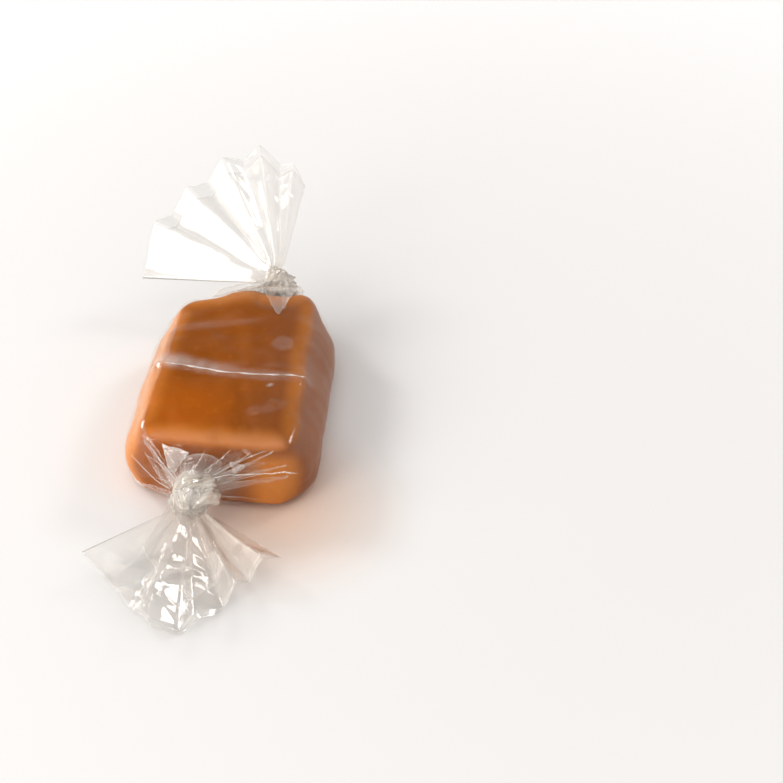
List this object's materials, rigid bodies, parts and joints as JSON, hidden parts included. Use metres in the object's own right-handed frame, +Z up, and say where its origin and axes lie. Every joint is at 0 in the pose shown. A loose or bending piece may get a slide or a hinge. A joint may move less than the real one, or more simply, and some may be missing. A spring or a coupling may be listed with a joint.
{
  "type": "wrapped caramel candy",
  "caption": "Soft caramel block rolled in clear film, twisted shut at both ends with flared pleated tails.",
  "frame": {"origin": "on the flat base under the caramel block, about 1 mm from its middle, on the surface the candy lies on", "axes": "+X along the candy towards the nearer tail, +Y across it, +Z up through the block's top"},
  "size_m": [0.0867, 0.0286, 0.0208],
  "materials": {
    "caramel": "satin",
    "clear_film": "gloss"
  },
  "bodies": {
    "root": {"caramel": "caramel", "wrapper": "clear_film"}
  },
  "joints": []
}
